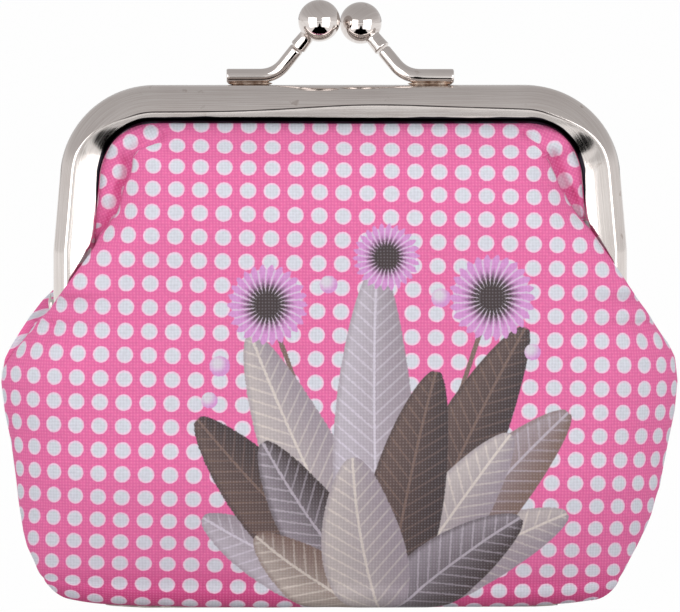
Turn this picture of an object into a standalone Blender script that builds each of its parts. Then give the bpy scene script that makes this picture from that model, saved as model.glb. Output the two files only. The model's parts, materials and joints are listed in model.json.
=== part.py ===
"""A small kiss-lock coin purse: a padded cloth bag held in two pressed metal channel frames.

The purse stands upright on its boxed base. +X is the wearer's right in the front view, the
front faces -Y and +Z is up. The two frame halves turn on one line of rivets, along X.
Each cloth layer is one cloth on the real purse. Here it is cut at the fold line, because the
part above that line is gripped by the frame and swings with it.
"""
import math

import bmesh
import bpy
from mathutils import Vector

# Gaps between neighbours
clearance = 0.0003
merge_distance = 0.00001

# Frame halves, each a channel pressed from plated sheet
frame_half_width = 0.0424
frame_top = 0.0774
frame_corner_radius = 0.014
leg_lean = math.radians(5)
leg_upright = 0.008
hinge_height = 0.045
channel_depth = 0.0048
flange_length = 0.00575
inner_flange_length = 0.004
frame_sheet = 0.0006
front_edge_radius = 0.0024
inner_edge_radius = 0.0008
lip_curl = 0.0004
lug_radius = 0.0023
flange_trim = 0.0057

# Rivets
rivet_radius = 0.0008
rivet_head_radius = 0.0015
rivet_head_thickness = 0.0005

# Clasp
ball_radius = 0.00295
ball_side_offset = 0.00313
ball_cross_offset = 0.0016
ball_rise = 0.0096
collar_radius = 0.00125
collar_length = 0.0017
arm_radius = 0.00105
arm_foot_length = 0.0072
arm_foot_end = 0.01675
arm_bend = 0.0022
arm_set_back = 0.0016

# Paper cord that wedges the cloth in each channel
cord_radius = 0.00047

# Bag
bag_half_width = 0.0501
bag_half_depth = 0.0095
widest_height = 0.0335
base_half_width = 0.044
base_radius = 0.0045
edge_reach = 0.014
fold_rise = 0.003
fold_band = 0.001
seam_gap = 0.00025
cloth_edge_inset = 0.0014
panel_thickness = 0.0007
padding_thickness = 0.0012
lining_thickness = 0.0004
padding_margin = 0.0036
lower_swell_power = 1.45
upper_taper_power = 1.4

# Counts that set how finely the surfaces are divided
margin_steps = 3
pillow_steps = 3
lower_wall_rows = 4
shoulder_rows = 2
fillet_rows = 3
leg_rows = 3
rail_steps = 3
corner_steps = 6
leg_steps = 3
lug_steps = 4
bend_steps = 5
ball_steps = 11
turned_steps = 20

# Places worked out from the sizes above
front = -1
rear = 1
inner_face = clearance / 2
outer_face = inner_face + channel_depth
lean_tangent = math.tan(leg_lean)
lean_start = hinge_height + leg_upright
corner_height = frame_top - frame_corner_radius
lean_run = corner_height + frame_corner_radius * math.sin(leg_lean) - lean_start
corner_x = frame_half_width - frame_corner_radius * math.cos(leg_lean) - lean_run * lean_tangent
ball_height = frame_top + ball_rise
rail_lip = frame_top - flange_length - clearance
fold_height = hinge_height + fold_rise
trim_top = fold_height + flange_trim
joggle_bottom = fold_height + flange_trim / 3
lug_step = frame_sheet + clearance
cloth_front = outer_face - frame_sheet - lip_curl - clearance
padding_inset = panel_thickness + clearance
lining_inset = padding_inset + padding_thickness + clearance
valley_bottom = hinge_height - lug_radius - clearance - frame_sheet / 2


def clean_scene():
    for thing in list(bpy.data.objects):
        bpy.data.objects.remove(thing)


def make_collections():
    parts = bpy.data.collections.new("coin_purse")
    cutters = bpy.data.collections.new("cutters")
    bpy.context.scene.collection.children.link(parts)
    bpy.context.scene.collection.children.link(cutters)
    return parts, cutters


def make_pivot(name):
    pivot = bpy.data.objects.new(name, None)
    pivot.empty_display_size = frame_half_width
    pivot.location = (0, 0, hinge_height)
    part_collection.objects.link(pivot)
    return pivot


def give_material(piece, colour, metallic, roughness):
    material = bpy.data.materials.new(piece.name)
    material.use_nodes = True
    shader = material.node_tree.nodes["Principled BSDF"]
    shader.inputs["Base Color"].default_value = (*colour, 1)
    shader.inputs["Metallic"].default_value = metallic
    shader.inputs["Roughness"].default_value = roughness
    piece.data.materials.append(material)


def nickel(piece):
    give_material(piece, (0.72, 0.69, 0.66), 1, 0.12)


def printed_cloth(piece):
    give_material(piece, (0.86, 0.15, 0.39), 0, 0.6)


def foam(piece):
    give_material(piece, (0.87, 0.86, 0.82), 0, 0.9)


def lining_cloth(piece):
    give_material(piece, (0.93, 0.9, 0.88), 0, 0.7)


def paper(piece):
    give_material(piece, (0.76, 0.66, 0.5), 0, 0.9)


def add_piece(name, data, finish, pivot=None):
    piece = bpy.data.objects.new(name, data)
    part_collection.objects.link(piece)
    finish(piece)
    if pivot:
        piece.parent = pivot
        piece.location = -pivot.location
    return piece


def shade_round(mesh):
    mesh.shade_smooth()
    mesh.set_sharp_from_angle(angle=math.radians(40))


def shaped_grid(name, columns, rows, place, sink=None):
    """A grid whose points are moved to place(column, row), and then on to sink(point, normal),
    which gives the place of a deeper layer from a point and the surface's normal there."""
    grid = bmesh.new()
    bmesh.ops.create_grid(grid, x_segments=columns, y_segments=rows, size=1)
    for vertex in grid.verts:
        column = round((vertex.co.x + 1) / 2 * columns)
        row = round((vertex.co.y + 1) / 2 * rows)
        vertex.co = place(column, row)
    bmesh.ops.remove_doubles(grid, verts=grid.verts, dist=merge_distance)
    grid.normal_update()
    if sink:
        normals = [vertex.normal.copy() for vertex in grid.verts]
        for vertex, normal in zip(grid.verts, normals):
            vertex.co = sink(vertex.co, normal)
    mesh = bpy.data.meshes.new(name)
    grid.to_mesh(mesh)
    grid.free()
    shade_round(mesh)
    return mesh


def thicken(piece, thickness):
    """Makes the open surface a closed sheet that lies inside it."""
    solidify = piece.modifiers.new("thickness", "SOLIDIFY")
    solidify.thickness = thickness
    solidify.offset = -1


def steps_between(start, end, count):
    """The ends of count equal steps that lead from start to end."""
    return [start + (end - start) * step / count for step in range(1, count + 1)]


def quarter(share):
    """Rises from 0 to 1 as a quarter circle does while share goes from 0 to 1."""
    rest = 1 - min(max(share, 0), 1)
    return math.sqrt(max(1 - rest * rest, 0))


# Outline of a frame half

def leg_x(height, inset):
    """Half width of the leg's outer line, moved inwards by inset, at a height."""
    return frame_half_width - inset - max(height - lean_start, 0) * lean_tangent


def frame_x(height, inset):
    """Half width of the whole outline, corner included, moved inwards by inset."""
    radius = frame_corner_radius - inset
    rise = height - corner_height
    if rise <= radius * math.sin(leg_lean):
        return leg_x(height, inset)
    return corner_x + math.sqrt(max(radius * radius - rise * rise, 0))


def outline_frames(along_rail, round_corner, along_leg, end_height):
    """Places along half the outer line, from the rail's middle to end_height on the leg,
    each as (x, height, outward x, outward height)."""
    places = [(corner_x * step / along_rail, frame_top, 0, 1) for step in range(along_rail)]
    for step in range(round_corner + 1):
        turn = math.pi / 2 + (leg_lean - math.pi / 2) * step / round_corner
        out_x, out_z = math.cos(turn), math.sin(turn)
        x = corner_x + frame_corner_radius * out_x
        places.append((x, corner_height + frame_corner_radius * out_z, out_x, out_z))
    top = places[-1][1]
    for step in range(1, along_leg + 1):
        height = top + (end_height - top) * step / along_leg
        lean = leg_lean if height > lean_start else 0
        places.append((leg_x(height, 0), height, math.cos(lean), math.sin(lean)))
    return places


# Cross-section of the channel, as lengths along the sheet from the front lip

flat_face = flange_length - front_edge_radius
front_bend = front_edge_radius * math.pi / 2
web = channel_depth - front_edge_radius - inner_edge_radius
inner_bend = inner_edge_radius * math.pi / 2
inner_face_flat = inner_flange_length - inner_edge_radius
web_start = flat_face + front_bend
web_end = web_start + web
sheet_length = web_end + inner_bend + inner_face_flat
section_shares = (0, 0.13, 0.26, 0.35, 0.45, 0.54, 0.66, 0.71, 0.76, 1)


def section_point(length, unbent):
    """(distance in from the outer line, distance in front of the middle plane)."""
    if length < flat_face:
        share = 1 - length / flat_face
        return flange_length - length, outer_face - lip_curl * share * share
    if length < web_start:
        turn = (length - flat_face) / front_edge_radius
        return (
            front_edge_radius * (1 - math.sin(turn)),
            outer_face - front_edge_radius * (1 - math.cos(turn)),
        )
    if length < web_end or unbent:
        return 0, outer_face - front_edge_radius - (length - web_start)
    if length < web_end + inner_bend:
        turn = (length - web_end) / inner_edge_radius
        return (
            inner_edge_radius * (1 - math.cos(turn)),
            inner_face + inner_edge_radius * (1 - math.sin(turn)),
        )
    return inner_edge_radius + length - web_end - inner_bend, inner_face


def joggle(height):
    """How much of the step towards the inner lugs is made at a height, from 0 to 1."""
    return min(max((trim_top - height) / (trim_top - joggle_bottom), 0), 1)


def reach_to_length(reach):
    """Length along the unbent sheet of the point that lies reach in front of the middle."""
    return web_start + outer_face - front_edge_radius - reach


def leg_end_rows():
    """Rows of the trimmed leg end and its round lug: (height, first length, last length)."""
    rows = []
    web_reach = inner_face + inner_edge_radius
    for share in (0.85, 0.6, 0.3, 0):
        height = fold_height + clearance + (flange_trim - clearance) * share
        first = web_start * (1 - share)
        last = reach_to_length(web_reach * share - lug_radius * (1 - share) / 2)
        rows.append((height, first, last))
    front_reach = outer_face - front_edge_radius
    for share in (0.5, 0):
        height = hinge_height + (fold_height - hinge_height) * share
        reach = lug_radius + (front_reach - lug_radius) * share
        back = lug_radius * (1 - share / 4)
        rows.append((height, reach_to_length(reach), reach_to_length(-back)))
    for step in range(1, lug_steps + 1):
        turn = math.pi / 2 * step / lug_steps
        half = lug_radius * math.cos(turn)
        height = hinge_height - lug_radius * math.sin(turn)
        rows.append((height, reach_to_length(half), reach_to_length(-half)))
    return rows


def make_frame(name, side, lug_inset, pivot):
    """One half: a channel bent to a bow, with a flat lug at each leg end."""
    outline = outline_frames(rail_steps, corner_steps, leg_steps, trim_top)
    places = [(point, 0, sheet_length) for point in outline]
    for height, first, last in leg_end_rows():
        places.append(((leg_x(height, 0), height, 1, 0), first, last))

    def place(column, row):
        (x, height, out_x, out_z), first, last = places[row]
        share = section_shares[-1 - column] if side == front else section_shares[column]
        unbent = last < sheet_length
        inwards, reach = section_point(first + (last - first) * share, unbent)
        x -= lug_inset * joggle(height)
        return Vector((x - inwards * out_x, side * reach, height - inwards * out_z))

    mesh = shaped_grid(name, len(section_shares) - 1, len(places) - 1, place)
    frame = add_piece(name, mesh, nickel, pivot)
    mirror = frame.modifiers.new("other side", "MIRROR")
    mirror.merge_threshold = merge_distance
    thicken(frame, frame_sheet)
    hole = frame.modifiers.new("rivet holes", "BOOLEAN")
    hole.object = rivet_cutter
    hole.solver = "EXACT"
    return frame


def make_rivet_cutter():
    bpy.ops.mesh.primitive_cylinder_add(
        vertices=turned_steps,
        radius=rivet_radius + clearance,
        depth=2 * (frame_half_width + lug_radius),
        location=(0, 0, hinge_height),
        rotation=(0, math.pi / 2, 0),
    )
    cutter = bpy.context.object
    cutter.name = "rivet_cutter"
    cutter.hide_render = True
    cutter.display_type = "WIRE"
    for owner in list(cutter.users_collection):
        owner.objects.unlink(cutter)
    cutter_collection.objects.link(cutter)
    return cutter


def turned_mesh(name, profile):
    """An open profile of (radius, height) points, to be turned about Z."""
    mesh = bpy.data.meshes.new(name)
    edges = [(k, k + 1) for k in range(len(profile) - 1)]
    mesh.from_pydata([(radius, 0, height) for radius, height in profile], edges, [])
    return mesh


def turn_profile(piece):
    screw = piece.modifiers.new("turned", "SCREW")
    screw.steps = turned_steps
    screw.render_steps = turned_steps
    screw.use_merge_vertices = True
    screw.merge_threshold = merge_distance


def make_rivets():
    grip = 2 * frame_sheet + 3 * clearance
    head_top = rivet_head_thickness
    profile = [
        (0, head_top),
        (rivet_head_radius, head_top),
        (rivet_head_radius, 0),
        (rivet_radius, 0),
        (rivet_radius, -grip),
        (rivet_head_radius, -grip),
        (rivet_head_radius, -grip - rivet_head_thickness),
        (0, -grip - rivet_head_thickness),
    ]
    mesh = turned_mesh("rivet", profile)
    for name, way in (("left_rivet", -1), ("right_rivet", 1)):
        rivet = add_piece(name, mesh.copy(), nickel)
        turn_profile(rivet)
        rivet.location = (way * (frame_half_width + clearance), 0, hinge_height)
        rivet.rotation_euler = (0, way * math.pi / 2, 0)


# Clasp: a bent arm on top of each rail, with a ball that passes the other one

def make_clasp(name, side, way, pivot):
    """way is the side of the purse that the arm stands on, -1 for left."""
    foot_height = frame_top + clearance + arm_radius
    foot_y = side * (inner_face + arm_set_back)
    ball = Vector((way * ball_side_offset, -side * ball_cross_offset, ball_height))
    foot_end = Vector((way * arm_foot_end, foot_y, foot_height))
    corner = foot_end - Vector((way * arm_foot_length, 0, 0))
    slant = (ball - corner).normalized()
    collar_end = ball_radius + collar_length
    tip = ball - slant * (collar_end + clearance)
    bend_start = corner + Vector((way * arm_bend / 2, 0, 0))
    bend_end = corner + slant * arm_bend / 2
    route = [foot_end, (foot_end + bend_start) / 2]
    for step in range(bend_steps + 1):
        t = step / bend_steps
        route.append((1 - t) ** 2 * bend_start + 2 * t * (1 - t) * corner + t * t * bend_end)
    route += [(bend_end + tip) / 2, tip]

    curve = bpy.data.curves.new(name + "_arm", "CURVE")
    curve.dimensions = "3D"
    curve.bevel_depth = arm_radius
    curve.bevel_resolution = 2
    curve.use_fill_caps = True
    spline = curve.splines.new("POLY")
    spline.points.add(len(route) - 1)
    for point, where in zip(spline.points, route):
        point.co = (*where, 1)
    add_piece(name + "_arm", curve, nickel, pivot)

    collar_turn = math.asin(collar_radius / ball_radius)
    profile = []
    for step in range(ball_steps + 1):
        turn = (math.pi - collar_turn) * step / ball_steps
        profile.append((ball_radius * math.sin(turn), ball_radius * math.cos(turn)))
    profile += [(collar_radius, -collar_end), (0, -collar_end)]
    piece = add_piece(name + "_ball", turned_mesh(name + "_ball", profile), nickel, pivot)
    turn_profile(piece)
    piece.location += ball
    piece.rotation_euler = slant.to_track_quat("Z", "Y").to_euler()


def make_cord(name, side, pivot):
    """The paper cord pressed in behind the cloth, along the whole channel."""
    inset = frame_sheet + clearance + cord_radius
    reach = inner_face + frame_sheet + clearance + cord_radius
    half = [
        Vector((x - inset * out_x, side * reach, height - inset * out_z))
        for x, height, out_x, out_z in outline_frames(
            rail_steps, corner_steps, leg_steps, trim_top + clearance
        )
    ]
    other_half = [Vector((-p.x, p.y, p.z)) for p in half[1:]]
    route = other_half[::-1] + half
    curve = bpy.data.curves.new(name, "CURVE")
    curve.dimensions = "3D"
    curve.bevel_depth = cord_radius
    curve.bevel_resolution = 1
    curve.use_fill_caps = True
    spline = curve.splines.new("POLY")
    spline.points.add(len(route) - 1)
    for point, where in zip(spline.points, route):
        point.co = (*where, 1)
    add_piece(name, curve, paper, pivot)


# Bag below the fold line

def bag_x(height):
    """Half width of the bag's outline at a height."""
    if height < widest_height:
        share = (height - base_radius) / (widest_height - base_radius)
        swell = 1 - (1 - share) ** lower_swell_power
        return base_half_width + (bag_half_width - base_half_width) * swell
    share = (height - widest_height) / (fold_height - widest_height)
    top_half_width = frame_half_width - clearance / 2
    return bag_half_width + (top_half_width - bag_half_width) * share**upper_taper_power


def valley_depth(height):
    """How far the panel's edge stands off the middle plane, round the lugs and rivet."""
    if height <= valley_bottom:
        return seam_gap
    room = lug_radius + clearance
    if height < hinge_height:
        drop = hinge_height - height
        return max(math.sqrt(max(room * room - drop * drop, 0)), seam_gap) + clearance / 2
    share = (height - hinge_height) / (fold_height - hinge_height)
    return room + clearance / 2 + (cloth_front - room) * share


def lower_rows():
    """Each row is (height, half width, depth at the side seam, full depth, share of it)."""
    start = base_half_width - base_radius
    flat_depth = bag_half_depth - base_radius
    rows = [(0, start, seam_gap, flat_depth, 0), (0, start, seam_gap, flat_depth, 1)]
    for step in range(1, fillet_rows + 1):
        turn = math.pi / 2 * step / fillet_rows
        height = base_radius * (1 - math.cos(turn))
        grown = base_radius * math.sin(turn)
        rows.append((height, start + grown, seam_gap, flat_depth + grown, 1))
    heights = steps_between(base_radius, widest_height, lower_wall_rows)
    heights += steps_between(widest_height, valley_bottom, shoulder_rows)
    for height in heights:
        rows.append((height, bag_x(height), seam_gap, bag_half_depth, 1))
    lug_bottom = hinge_height - lug_radius
    top = fold_height - clearance / 2
    for height in (lug_bottom + lug_radius / 6, hinge_height - lug_radius / 4, top):
        rows.append((height, bag_x(height), valley_depth(height), bag_half_depth, 1))
    return rows


def ramp_distances(reach, margin):
    """Distances in from an edge, closer where the surface is steeper, one of them margin."""
    margin_turn = math.acos(1 - margin / reach)
    turns = [0] + steps_between(0, margin_turn, margin_steps)
    turns += steps_between(margin_turn, math.pi / 2, pillow_steps)
    return [reach * (1 - math.cos(turn)) for turn in turns]


def across_places(half, lip):
    """Where the columns lie, from the middle out to the lip, and on to the sheet's edge."""
    reach = min(edge_reach, lip)
    xs = [0]
    xs += [lip - distance for distance in reversed(ramp_distances(reach, padding_margin))]
    if half > lip:
        xs.append(half)
    return xs


def mirrored(places, column, side):
    """The place of a column, counted across the whole width in the way the side faces."""
    offset = column - (len(places) - 1)
    return math.copysign(places[abs(offset)], -side * offset)


def lower_layer(name, side, inset, thickness, finish):
    """A layer below the fold: it runs from the seam under the base up to the fold line."""
    rows = lower_rows()
    edge_gap = seam_gap + thickness / 4 if inset else seam_gap

    def place(column, row):
        height, half, edge, depth, share = rows[row]
        x = mirrored(across_places(half, half), column, side)
        reach = min(edge_reach, half)
        out = edge + share * (depth - edge) * quarter((half - abs(x)) / reach)
        return Vector((x, side * out, height))

    def sink(point, normal):
        deeper = point - normal * inset
        deeper.y = side * max(side * deeper.y, edge_gap)
        deeper.z = min(deeper.z, rows[-1][0])
        return deeper

    columns = 2 * (margin_steps + pillow_steps + 1)
    mesh = shaped_grid(name, columns, len(rows) - 1, place, sink)
    thicken(add_piece(name, mesh, finish), thickness)


# Bag above the fold line, where the frame grips it on three sides

def lip_x(height):
    """Half width of the window inside the frame's lip, trimmed leg end included."""
    trimmed = max(trim_top - height, 0) / flange_trim
    return leg_x(height, flange_length + clearance) + trimmed * (flange_length - frame_sheet)


def side_distance(x, height):
    return lip_x(height) - abs(x)


def upper_depth(x, height):
    """Depth of the pillow between the lips, with its corners rounded off."""
    side_gap = edge_reach - side_distance(x, height)
    top_gap = edge_reach - (rail_lip - height)
    inside = edge_reach - math.hypot(max(side_gap, 0), max(top_gap, 0))
    return cloth_front + (bag_half_depth - cloth_front) * quarter(inside / edge_reach)


def upper_heights():
    """Heights of the rows above the fold, closer where the cloth bends to the rail's lip."""
    bottom = fold_height + clearance / 2
    heights = [bottom, bottom + fold_band]
    heights += steps_between(bottom + fold_band, trim_top, leg_rows)
    reach = min(edge_reach, rail_lip - trim_top - fold_band)
    distances = ramp_distances(reach, padding_margin)
    heights += [rail_lip - distance for distance in reversed(distances)]
    return heights + [frame_top - cloth_edge_inset]


def upper_layer(name, side, edge_inset, inset, thickness, finish, pivot, padded_only=False):
    """A layer above the fold. Padding stops short of the lip, so that only cloth goes into
    the channel, and there the lining comes close to the panel."""
    heights = upper_heights()
    outer_columns = margin_steps + 1 if padded_only else 0
    outer_rows = margin_steps + 1 if padded_only else 0

    def place(column, row):
        height = heights[row]
        settled = max(height, heights[1])
        half = frame_x(settled, cloth_edge_inset) - lug_step * joggle(settled - fold_band)
        lip = min(lip_x(settled), half - clearance)
        places = across_places(half, lip)
        x = mirrored(places[: len(places) - outer_columns], column, side)
        return Vector((x, side * upper_depth(x, settled), height))

    def sink(point, normal):
        from_lip = min(side_distance(point.x, max(point.z, heights[1])), rail_lip - point.z)
        share = min(max(from_lip / padding_margin, 0), 1)
        deeper = point - normal * (edge_inset + (inset - edge_inset) * share)
        deeper.z = max(deeper.z, heights[0])
        return deeper

    columns = 2 * (margin_steps + pillow_steps + 2 - outer_columns)
    mesh = shaped_grid(name, columns, len(heights) - 1 - outer_rows, place, sink)
    thicken(add_piece(name, mesh, finish, pivot), thickness)


clean_scene()
part_collection, cutter_collection = make_collections()
rivet_cutter = make_rivet_cutter()
make_rivets()
for half_name, half_side, arm_way, half_lug_inset in (
    ("front", front, 1, 0),
    ("rear", rear, -1, lug_step),
):
    half_pivot = make_pivot(half_name + "_half_pivot")
    make_frame(half_name + "_frame", half_side, half_lug_inset, half_pivot)
    make_cord(half_name + "_paper_cord", half_side, half_pivot)
    make_clasp(half_name + "_clasp", half_side, arm_way, half_pivot)
    upper_layer(
        half_name + "_panel_upper", half_side, 0, 0, panel_thickness, printed_cloth, half_pivot
    )
    upper_layer(
        half_name + "_padding_upper",
        half_side,
        padding_inset,
        padding_inset,
        padding_thickness,
        foam,
        half_pivot,
        padded_only=True,
    )
    upper_layer(
        half_name + "_lining_upper",
        half_side,
        padding_inset,
        lining_inset,
        lining_thickness,
        lining_cloth,
        half_pivot,
    )
    lower_layer(half_name + "_panel_lower", half_side, 0, panel_thickness, printed_cloth)
    lower_layer(half_name + "_padding_lower", half_side, padding_inset, padding_thickness, foam)
    lower_layer(
        half_name + "_lining_lower", half_side, lining_inset, lining_thickness, lining_cloth
    )
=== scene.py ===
import json
import math

import bmesh
import bpy
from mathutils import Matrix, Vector, noise

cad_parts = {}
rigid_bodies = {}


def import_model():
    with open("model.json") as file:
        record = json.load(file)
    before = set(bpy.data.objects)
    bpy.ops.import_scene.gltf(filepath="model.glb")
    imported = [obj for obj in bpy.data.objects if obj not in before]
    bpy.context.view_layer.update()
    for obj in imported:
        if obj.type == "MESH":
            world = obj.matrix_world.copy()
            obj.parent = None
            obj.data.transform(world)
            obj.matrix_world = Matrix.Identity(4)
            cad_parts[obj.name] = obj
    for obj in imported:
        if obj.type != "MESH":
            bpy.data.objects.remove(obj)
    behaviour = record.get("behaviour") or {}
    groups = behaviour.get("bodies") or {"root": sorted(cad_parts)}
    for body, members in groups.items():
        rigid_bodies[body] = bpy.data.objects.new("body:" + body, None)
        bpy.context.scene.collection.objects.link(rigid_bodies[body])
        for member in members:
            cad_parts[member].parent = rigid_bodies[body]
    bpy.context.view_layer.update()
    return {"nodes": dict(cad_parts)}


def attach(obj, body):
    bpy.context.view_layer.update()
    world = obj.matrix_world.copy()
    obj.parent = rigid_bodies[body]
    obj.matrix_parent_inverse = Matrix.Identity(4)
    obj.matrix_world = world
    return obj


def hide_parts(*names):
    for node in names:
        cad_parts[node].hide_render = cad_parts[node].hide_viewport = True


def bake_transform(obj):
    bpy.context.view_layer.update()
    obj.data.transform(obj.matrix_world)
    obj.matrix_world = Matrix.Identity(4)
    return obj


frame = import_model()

# Frame halves. Each is one strip of thin steel, pressed to a channel whose front edge is rolled
# in, bent to a bow, trimmed at the leg ends to a flat lug, and plated with warm bright nickel.

clearance = 0.0003
inner_face = clearance / 2
channel_depth = 0.0048
ridge_proud = 0.0004
outer_face = inner_face + channel_depth + ridge_proud
frame_half_width = 0.0424
frame_top = 0.0774
corner_radius = 0.014
leg_lean = math.radians(5)
lean_start = 0.053
hinge_height = 0.045
fold_height = 0.048
flange_length = 0.006
flange_trim = 0.0057
trim_top = fold_height + flange_trim
trim_start = 0.0515
joggle_bottom = fold_height + flange_trim / 3
leg_tip = 0.0462
tip_width = 0.0026
lug_radius = 0.0023
frame_sheet = 0.0006
lug_step = frame_sheet + clearance
corner_height = frame_top - corner_radius
lean_run = corner_height + corner_radius * math.sin(leg_lean) - lean_start
corner_x = frame_half_width - corner_radius * math.cos(leg_lean) - lean_run * math.tan(leg_lean)


class Wire:
    """A socket of a material's node tree. Arithmetic on it adds Math nodes."""

    def __init__(self, tree, socket=None):
        self.tree = tree
        self.socket = socket

    def node(self, kind, settings=None, sockets=None, out=0):
        """Adds a node, makes its settings, then gives its sockets their values or links."""
        made = self.tree.nodes.new("ShaderNode" + kind)
        for name, value in (settings or {}).items():
            if name == "stops":
                while len(made.color_ramp.elements) < len(value):
                    made.color_ramp.elements.new(0.5)
                for stop, (place, colour) in zip(made.color_ramp.elements, value):
                    stop.position = place
                    stop.color = (*colour, 1)
            else:
                setattr(made, name, value)
        for name, value in (sockets or {}).items():
            if isinstance(value, Wire):
                self.tree.links.new(value.socket, made.inputs[name])
            else:
                made.inputs[name].default_value = value
        return Wire(self.tree, made.outputs[out])

    def maths(self, operation, *values):
        return self.node("Math", {"operation": operation}, dict(enumerate(values)))

    def __add__(self, other):
        return self.maths("ADD", self, other)

    def __sub__(self, other):
        return self.maths("SUBTRACT", self, other)

    def __mul__(self, other):
        return self.maths("MULTIPLY", self, other)

    def __truediv__(self, other):
        return self.maths("DIVIDE", self, other)

    def __rsub__(self, other):
        return self.maths("SUBTRACT", other, self)

    __radd__ = __add__
    __rmul__ = __mul__

    def root(self):
        return self.maths("SQRT", self)

    def span(self, other):
        """Distance of the place (self, other) from the middle."""
        return (self * self + other * other).root()

    def size(self):
        return self.maths("ABSOLUTE", self)

    def most(self, other):
        return self.maths("MAXIMUM", self, other)

    def wave(self):
        return self.maths("SINE", self)

    def off_whole(self):
        """How far it is from the nearest whole number."""
        return self - self.maths("ROUND", self)

    def step(self, start, end):
        """0 before start and 1 after end, smooth between; start may be the larger one."""
        settings = {"interpolation_type": "SMOOTHSTEP", "clamp": True}
        return self.node("MapRange", settings, {0: self, 1: start, 2: end})

    def split(self):
        """The x, y and z of a vector."""
        parts = self.node("SeparateXYZ", None, {0: self}).socket.node
        return [Wire(self.tree, end) for end in parts.outputs]

    def between(self, start, end):
        """The start colour where this is 0, the end colour where it is 1."""
        return self.node("Mix", {"data_type": "RGBA"}, {0: self, 6: start, 7: end}, out=2)

    def blend(self, other, share):
        """This colour at share 0, the other one at share 1."""
        return share.between(self, other)

    def ramp(self, *stops):
        """Colours between (place, colour) stops."""
        return self.node("ValToRGB", {"stops": stops}, {0: self})

    def cloud(self, scale, detail=2):
        """Soft noise at this place."""
        return self.node("TexNoise", None, {"Vector": self, "Scale": scale, "Detail": detail})

    def bump(self, strength, distance):
        """The normal that this height gives."""
        sockets = {"Strength": strength, "Distance": distance, "Height": self}
        return self.node("Bump", None, sockets)


def colour(red, green, blue):
    """Linear colour from the 0 to 255 values that a screen shows."""
    shares = [value / 255 for value in (red, green, blue)]
    linear = [((s + 0.055) / 1.055) ** 2.4 if s > 0.04045 else s / 12.92 for s in shares]
    return (*linear, 1)


def new_finish(name, **settled):
    """A material, its Principled shader with the settled sockets, and a Wire to build with."""
    finish = bpy.data.materials.new(name)
    finish.use_nodes = True
    shader = finish.node_tree.nodes["Principled BSDF"]
    for socket, value in settled.items():
        shader.inputs[socket.replace("_", " ")].default_value = value
    return finish, shader, Wire(finish.node_tree)


def connect(shader, **wires):
    for socket, wire in wires.items():
        wire.tree.links.new(wire.socket, shader.inputs[socket.replace("_", " ")])


def sheet_mesh(name, columns, rows, place):
    """A grid of faces; place(column, row) gives a point and its (u, v) along the sheet."""
    made = [[place(column, row) for column in range(columns + 1)] for row in range(rows + 1)]
    points = [point for row in made for point, _ in row]
    flat = [along for row in made for _, along in row]
    wide = columns + 1
    faces = [
        (k + c, k + c + 1, k + c + 1 + wide, k + c + wide)
        for k in range(0, rows * wide, wide)
        for c in range(columns)
    ]
    mesh = bpy.data.meshes.new(name)
    mesh.from_pydata(points, [], faces)
    layer = mesh.uv_layers.new(name="along")
    for loop in mesh.loops:
        layer.data[loop.index].uv = flat[loop.vertex_index]
    mesh.shade_smooth()
    return mesh


def add_values(mesh, name, values):
    """Gives each point of a mesh a value that its finish can read."""
    mesh.attributes.new(name, "FLOAT", "POINT").data.foreach_set("value", values)


def new_object(name, data):
    made = bpy.data.objects.new(name, data)
    bpy.context.scene.collection.objects.link(made)
    return made


def add_piece(name, mesh, finish, body=None):
    piece = new_object(name, mesh)
    mesh.materials.append(finish)
    if body:
        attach(piece, body)
    return piece


def part_way(value, start, end):
    """How far a value has come from start to end, between 0 and 1."""
    return min(max((value - start) / (end - start), 0), 1)


def smooth(value, start, end):
    """The same, but eased at both ends."""
    share = part_way(value, start, end)
    return share * share * (3 - 2 * share)


def lengths_along(points):
    """Length from the first point to each point."""
    lengths = [0.0]
    for a, b in zip(points, points[1:]):
        lengths.append(lengths[-1] + math.dist(a, b))
    return lengths


def leg_x(height, inset):
    """Half width of the leg's outer line, moved inwards by inset."""
    return frame_half_width - inset - max(height - lean_start, 0) * math.tan(leg_lean)


def bow_stations():
    """Places along half the outer line: (x, height, outward x, outward height, how much it is
    a leg, length)."""
    rail_steps, corner_steps, leg_steps = 44, 28, 16
    stations = [(corner_x * k / rail_steps, frame_top, 0.0, 1.0, 0.0) for k in range(rail_steps)]
    for k in range(corner_steps + 1):
        turn = math.pi / 2 + (leg_lean - math.pi / 2) * k / corner_steps
        out_x, out_z = math.cos(turn), math.sin(turn)
        x = corner_x + corner_radius * out_x
        height = corner_height + corner_radius * out_z
        stations.append((x, height, out_x, out_z, smooth(k, 6, 24)))
    top = stations[-1][1]
    for k in range(1, leg_steps + 1):
        height = top + (trim_start - top) * k / leg_steps
        lean = leg_lean * part_way(height, lean_start, lean_start + 0.003)
        stations.append((leg_x(height, 0), height, math.cos(lean), math.sin(lean), 1.0))
    lengths = lengths_along([station[:2] for station in stations])
    return [(*station, length) for station, length in zip(stations, lengths)]


sheet_length = 0.0141
inner_bend = 0.0008


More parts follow.
